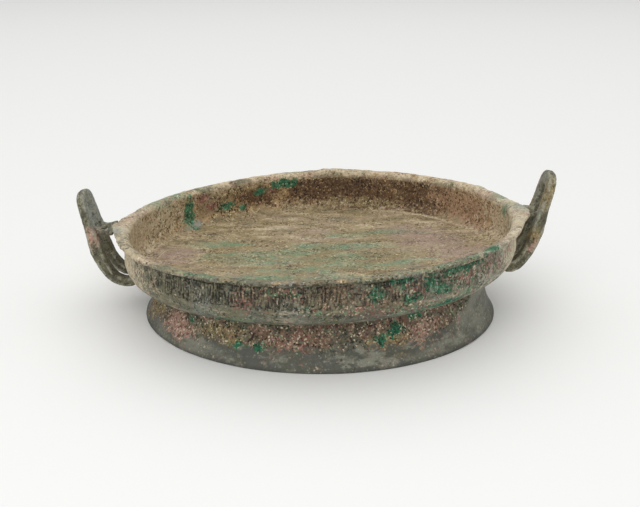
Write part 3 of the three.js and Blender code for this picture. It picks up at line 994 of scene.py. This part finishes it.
# Layers of lumps, as for the bowl: those of the casting, those of the worn relief above the
# plain band, and those of the band's upper edge.
FOOT_CAST = [(0.4, 34, 2), (0.15, 10, 4)]
FOOT_RELIEF = [(0.5, 2.6, 6), (0.4, 5, 8)]
PLAIN_EDGE = [(2.5, 14, 0), (3, 40, 5)]
# Where the plain band reaches higher or lower: bearing, half width in degrees, lift in mm.
PLAIN_LIFTS = [(-14, 30, 30), (-143, 18, -7), (-168, 20, -6)]
RELIEF_FADE = 7
# The foot is darkened up to this height above the ground: partly grime, partly painted contact
# shadow.
GRIME_AND_SHADOW_HEIGHT = 4.5
NECK_SWELL = 3.5
NECK_SWELL_SIDE = (-10, 45)


def foot_shape():
    """The turned foot with its worn relief, its casting's lumps and a neck swollen at +X."""
    outline = foot_outline()
    foot = to_piece("cast_ring_foot", spun(outline + outline[:1], FOOT_STEPS))
    places = vertices(foot)
    bearing = bearings(places)
    plain_top = FOOT_BAND_TOP + uneven(places, PLAIN_EDGE)
    for middle, half, lift in PLAIN_LIFTS:
        plain_top += lift * near(bearing, middle, half)
    grainy = ramp(places[:, 2], plain_top, RELIEF_FADE)
    keep(foot, "grainy", grainy)
    relief = uneven(places, FOOT_CAST) + grainy * uneven(places, FOOT_RELIEF)
    off_ground = ramp(places[:, 2], 0, FOOT_EDGE)
    places += outward(foot) * (off_ground * relief)[:, None]
    places[:, 2] = np.maximum(places[:, 2], 0)
    keep(foot, "near_ground", 1 - ramp(places[:, 2], 0, GRIME_AND_SHADOW_HEIGHT))
    keep_marks(foot, places, FOOT_MARKS)
    swell = NECK_SWELL * near(bearing, *NECK_SWELL_SIDE) * ramp(places[:, 2], 10, 24)
    places[:, :2] *= (1 + swell / radii(places))[:, None]
    move_to(foot, leaned(places))
    return foot


# Two patinas of the foot alone, then its mixed grains, as for the bowl.
# The first is dark grime, also laid along the ground as painted contact shadow.
GRIME_AND_SHADOW = (seen(34, 34, 30), seen(58, 60, 54), seen(96, 98, 88))
SLATE = (seen(44, 46, 41), seen(81, 83, 76), seen(124, 127, 118))
FOOT_GRAINS = [
    (1.6, 12, 0.05, 0.7, OCHRE),
    (1.35, 7, 0.06, 0.8, ROSE),
    (1.9, 8, 0.02, 0.8, SOFT_GREEN),
    (2.1, 9, 0.02, 0.75, CUPRITE),
    (1.5, 10, 0.04, 0.7, MOSS),
]


def foot_look(shade):
    """A rubbed plain band below, and grainy relief full of minerals above it."""
    cloud = shade.grain(26, 4)
    blotch = shade.grain(8, 4)
    fine = shade.grain(*FINE_GRAIN)
    chunks = shade.crumbs(CHUNK_SIZE)
    smear = shade.grain(10, 4, 0.65, stretch=(0.4, 0.4, 1))
    grainy = (shade.kept("grainy") + (chunks - 0.5) * 0.7 + (blotch - 0.5) * 2).rise(0, 1)

    def marked(name, rag=1.2):
        """A mark with a ragged edge, on the grainy part alone."""
        ragged = shade.kept(name) + (chunks - 0.5) * rag + (blotch - 0.5) * 2.2
        return ragged.rise(0, 0.4) * grainy.rise(0, 0.5)

    plain = layered(
        SLATE,
        (cloud.rise(0.4, 0.6), MOSS),
        # Paler toward the left and right: partly patina, partly painted light from the sides.
        (shade.kept("paler_patches").rise(0, 0.7) * 0.75, ASH),
        (smear.rise(0.5, 0.38) * 0.8, MOSS),
        (smear.rise(0.52, 0.64) * 0.9, ASH),
        (blotch.rise(0.55, 0.66) * 0.6, LILAC),
    )
    worked = layered(
        RUSSET,
        (cloud.rise(0.42, 0.56), OLIVE),
        (blotch.rise(0.54, 0.66) * 0.7, SAGE),
    )
    patina = layered(
        plain,
        (grainy, worked),
        (marked("ochre"), OCHRE),
        (marked("rose", 1.4) * 0.9, ROSE),
        (marked("cuprite", 1.7) * 0.7, CUPRITE),
        (marked("umber", 0.8), MOSS),
        (marked("umber", 0.8) * blotch.rise(0.4, 0.56) * 0.7, GRIME_AND_SHADOW),
        *strewn_layers(shade, marked("mixed") * grainy * 0.75, FOOT_GRAINS),
        (marked("malachite", 1.1), MALACHITE),
        # Darker along the ground: partly grime, partly painted contact shadow.
        (shade.kept("near_ground").rise(0.1, 0.9) * 0.7, GRIME_AND_SHADOW),
    )
    cluster = shade.grain(13, 3).rise(0.4, 0.58)
    rough = (0.7 + 0.6 * cluster) * grainy + 0.22
    pits, grains = flecks(shade)
    colour = grained(patina, (pits * rough).capped(), (grains * rough).capped())
    cream = shade.crumbs(CREAM_SIZE).rise(0.81, 0.87) * rough * 0.8
    roughness = 0.5 + 0.2 * blotch + 0.15 * grainy
    metal = fine.rise(0.6, 0.8) * 0.1
    height = (fine * 0.7 - pits * 0.4 + grains * 0.3) * rough + blotch * 0.6
    return cream.tint(colour, CREAM_GRAIN), roughness, metal, height, PATINA_DEPTH


foot = foot_shape()
foot.data.materials.append(finish("foot_patina", foot_look))
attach(foot, "root")
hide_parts("ring_foot")


# Handles and struts
# Each handle is a strap of bronze arched over at the top, cast onto the bowl's underside. Two
# short bars per handle were cast from the lip to its inner face. All have soft, corroded edges.
HANDLE_VOXEL = 0.75
SMOOTH_ROUNDS = 4
HANDLE_SWELL = 0.34
HANDLE_CAST = [(0.3, 14, 1), (0.28, 4.5, 3), (0.12, 2, 5)]
EDGE_GAIN = 8
BARS_TOP = 68
HANDLE_DEPTH = 0.0009
# Where the handles' patina has its colours, as for the bowl.
HANDLE_MARKS = {
    "ochre": [
        (-5, 192, 104, 12, 16), (-6, 184, 68, 12, 9), (-176, 198, 112, 12, 9),
        (172, 186, 60, 12, 12), (6, 186, 84, 12, 12),
    ],
    "ash": [(177, 190, 90, 12, 26), (-177, 188, 84, 8, 20)],
    "rose": [(-174, 186, 67, 10, 9), (-6, 184, 58, 8, 7), (5, 196, 108, 8, 8)],
}


def ridges(piece):
    """How sharply the surface bends outward at each corner, from 0 on flats to 1 on edges."""
    shape = bmesh.new()
    shape.from_mesh(piece.data)
    shape.normal_update()
    bend = []
    for corner in shape.verts:
        angles = [edge.calc_face_angle_signed(0) for edge in corner.link_edges]
        bend.append(sum(angles) / len(angles))
    shape.free()
    return np.clip(np.array(bend) * EDGE_GAIN, 0, 1)


def finer_copy(node):
    """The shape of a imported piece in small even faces, with its edges smoothed."""
    shape = bmesh.new()
    shape.from_mesh(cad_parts[node].data)
    bmesh.ops.remove_doubles(shape, verts=shape.verts, dist=1e-6)
    coarse = to_piece(node + "_coarse", shape)
    remesh = coarse.modifiers.new("remesh", "REMESH")
    remesh.mode = "VOXEL"
    remesh.voxel_size = HANDLE_VOXEL * MM
    graph = bpy.context.evaluated_depsgraph_get()
    fine = bmesh.new()
    fine.from_mesh(bpy.data.meshes.new_from_object(coarse.evaluated_get(graph)))
    bpy.data.objects.remove(coarse)
    for _ in range(SMOOTH_ROUNDS):
        bmesh.ops.smooth_vert(
            fine, verts=fine.verts, factor=0.5, use_axis_x=True, use_axis_y=True, use_axis_z=True
        )
    return fine


def cast_copy(node, name):
    """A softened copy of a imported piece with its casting's lumps, a little swollen so that
    the seams close."""
    piece = to_piece(name, finer_copy(node))
    places = vertices(piece)
    keep(piece, "edge", ridges(piece))
    above_bars = np.maximum(ramp(places[:, 2], BARS_TOP, 14), 0.2)
    # How far each face turns toward the bowl and up to the lamp, less below the bars: the material
    # paints these faces paler as painted light.
    keep(piece, "inner_face", -np.sign(places[:, 0]) * outward(piece)[:, 0] * above_bars)
    keep_marks(piece, places, HANDLE_MARKS)
    lift = HANDLE_SWELL + uneven(places, HANDLE_CAST)
    places += outward(piece) * lift[:, None]
    move_to(piece, places)
    return piece


DARK_BRONZE = (seen(38, 37, 27), seen(86, 83, 65), seen(152, 146, 118))
# Pale edges: partly wear, partly painted highlight.
WORN_EDGE_AND_HIGHLIGHT = (seen(104, 104, 88), seen(158, 156, 136), seen(196, 194, 174))


def handle_look(shade):
    """Dark bronze, painted light making the inner faces ash grey, and edges pale from wear and
    painted highlight.
    """
    cloud = shade.grain(18, 4)
    blotch = shade.grain(6, 4, stretch=(1, 1, 0.6))
    fine = shade.grain(*FINE_GRAIN)
    chunks = shade.crumbs(CHUNK_SIZE)
    edge = shade.kept("edge").rise(0.2, 0.7)
    inner_face = shade.kept("inner_face").rise(0.05, 0.5)

    def marked(name):
        """A mark with a ragged edge."""
        ragged = shade.kept(name) + (chunks - 0.5) * 0.7 + (blotch - 0.5) * 2.4
        return (ragged + (fine - 0.5) * 1.4).rise(0, 0.5)

    patina = layered(
        DARK_BRONZE,
        (cloud.rise(0.42, 0.58), OLIVE),
        # Painted light: the faces toward the bowl, which lean up to the lamp, painted ash grey.
        (inner_face * blotch.rise(0.3, 0.46) * 0.9, ASH),
        # Pale marks on the inner faces: partly patina, partly painted light.
        (marked("ash") * 0.65, BLUE_GREY),
        (blotch.rise(0.56, 0.68) * 0.7, RUSSET),
        (marked("ochre") * 0.9, OCHRE),
        (marked("rose") * 0.85, ROSE),
        # Pale on the edges: partly wear, partly painted highlight.
        (edge * blotch.rise(0.42, 0.6) * 0.85, WORN_EDGE_AND_HIGHLIGHT),
    )
    pits, grains = flecks(shade)
    colour = grained(patina, (pits * 0.7).capped(), (grains * 0.6).capped())
    roughness = 0.6 + 0.22 * blotch
    metal = fine.rise(0.6, 0.8) * 0.1
    height = fine * 0.7 - pits * 0.2 + grains * 0.2 + blotch * 0.9
    return colour, roughness, metal, height, HANDLE_DEPTH


handle_patina = finish("handle_patina", handle_look)
for side in ("left", "right"):
    for node, name in (
        (side + "_handle", side + "_loop_handle"),
        (side + "_front_strut", side + "_front_bar"),
        (side + "_back_strut", side + "_back_bar"),
    ):
        piece = cast_copy(node, name)
        piece.data.materials.append(handle_patina)
        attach(piece, "root")
        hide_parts(node)


# Core spacers
# Four small square plates of bronze in the underside, which held the core clear of the mould
# while the bowl was poured. They show as browner squares, each in a thin dark groove.
SPACER_PROUD = 0.35
SPACER_BEVEL = 0.5
FLAT_ANGLE = 0.02
SPACER_DEPTH = 0.0005
SPACER_BROWN = seen(140, 108, 72)
SPACER_SHADE = seen(114, 92, 64)
SPACER_DIRT = seen(60, 50, 36)


def spacer_copy(node, name):
    """A packed plate with rounded edges, a little proud of the underside."""
    shape = bmesh.new()
    shape.from_mesh(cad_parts[node].data)
    bmesh.ops.remove_doubles(shape, verts=shape.verts, dist=1e-6)
    bmesh.ops.dissolve_limit(shape, angle_limit=FLAT_ANGLE, verts=shape.verts, edges=shape.edges)
    bmesh.ops.bevel(
        shape, geom=shape.edges, offset=SPACER_BEVEL * MM, segments=2,
        profile=0.5, affect="EDGES", material=-1,
    )
    bmesh.ops.translate(shape, verts=shape.verts, vec=(0, 0, -SPACER_PROUD * MM))
    return to_piece(name, shape)


def spacer_look(shade):
    """Brown bronze with a little dirt."""
    mid = shade.grain(3, 4)
    fine = shade.grain(1.0, 3)
    colour = mid.rise(0.4, 0.6).tint(SPACER_BROWN, SPACER_SHADE)
    colour = (fine.rise(0.5, 0.36) * 0.5).tint(colour, SPACER_DIRT)
    roughness = 0.55 + 0.2 * mid
    metal = fine.rise(0.6, 0.8) * 0.3
    return colour, roughness, metal, fine * 0.5 + mid, SPACER_DEPTH


spacer_patina = finish("spacer_patina", spacer_look)
for place in ("front_right", "back_right", "back_left", "front_left"):
    piece = spacer_copy("spacer_" + place, "core_spacer_" + place)
    piece.data.materials.append(spacer_patina)
    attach(piece, "root")
    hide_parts("spacer_" + place)
